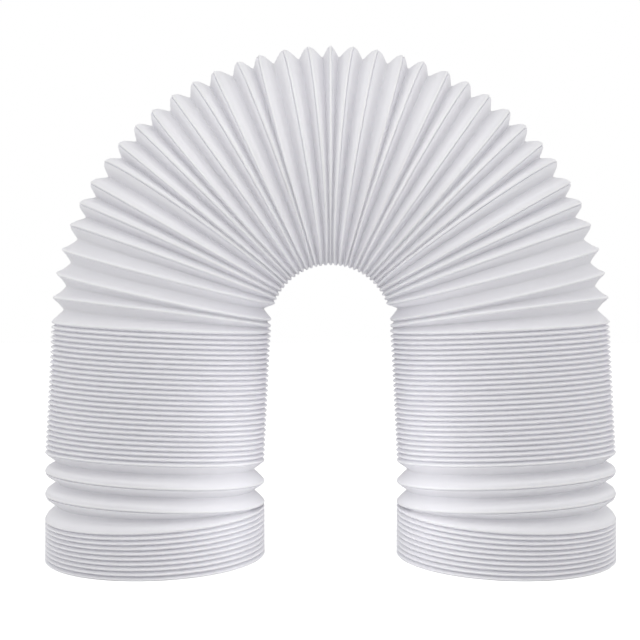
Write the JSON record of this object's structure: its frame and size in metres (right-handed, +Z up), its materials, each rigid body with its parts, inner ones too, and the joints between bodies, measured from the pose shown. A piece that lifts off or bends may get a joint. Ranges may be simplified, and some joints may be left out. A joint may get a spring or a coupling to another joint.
{
  "type": "air conditioner exhaust hose",
  "caption": "White corrugated plastic exhaust hose, bent into an arch that stands on its open ends, with its folds open over the bend and pushed together in the legs.",
  "frame": {"origin": "on the floor, midway between the two open ends that the hose stands on", "axes": "+Z up, +X from one leg of the arch to the other, -Y towards the viewer"},
  "size_m": [0.392, 0.15, 0.3507],
  "materials": {
    "white_plastic": "satin"
  },
  "bodies": {
    "root": {"hose": "white_plastic"}
  },
  "joints": []
}
